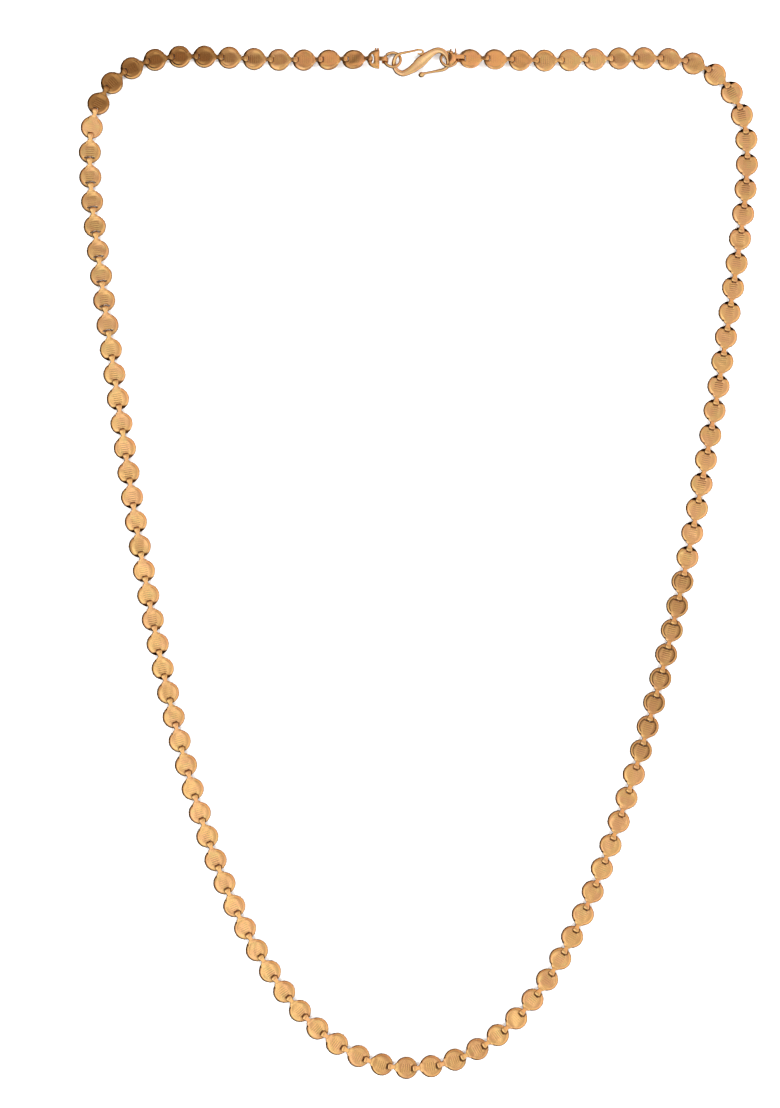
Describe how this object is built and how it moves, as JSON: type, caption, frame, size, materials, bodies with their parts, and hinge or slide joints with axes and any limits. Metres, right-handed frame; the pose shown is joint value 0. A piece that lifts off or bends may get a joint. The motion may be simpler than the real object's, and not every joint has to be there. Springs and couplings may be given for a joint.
{
  "type": "coin chain necklace",
  "caption": "Loop of round stamped coin links, each hooked by its tongue through the slot of the next, closed by jump rings and an S-hook, lying flat.",
  "frame": {"origin": "bottom centre of the chain's box, on the surface that it lies on", "axes": "+X to the right and +Y up as the chain is seen from above with the clasp at the top, +Z up off the surface; the long way of the loop is Y"},
  "size_m": [0.1698, 0.2583, 0.003],
  "materials": {
    "coin_gold": "stamped sheet in a warm orange gold, polished, with fine lines engraved across each coin",
    "wire_gold": "bright polished wire in the same warm gold"
  },
  "bodies": {
    "root": {"chain_left": "coin_gold", "chain_right": "coin_gold", "end_link_left": "coin_gold", "end_link_right": "coin_gold", "ring_left": "wire_gold", "ring_right": "wire_gold", "s_hook": "wire_gold"}
  },
  "joints": []
}
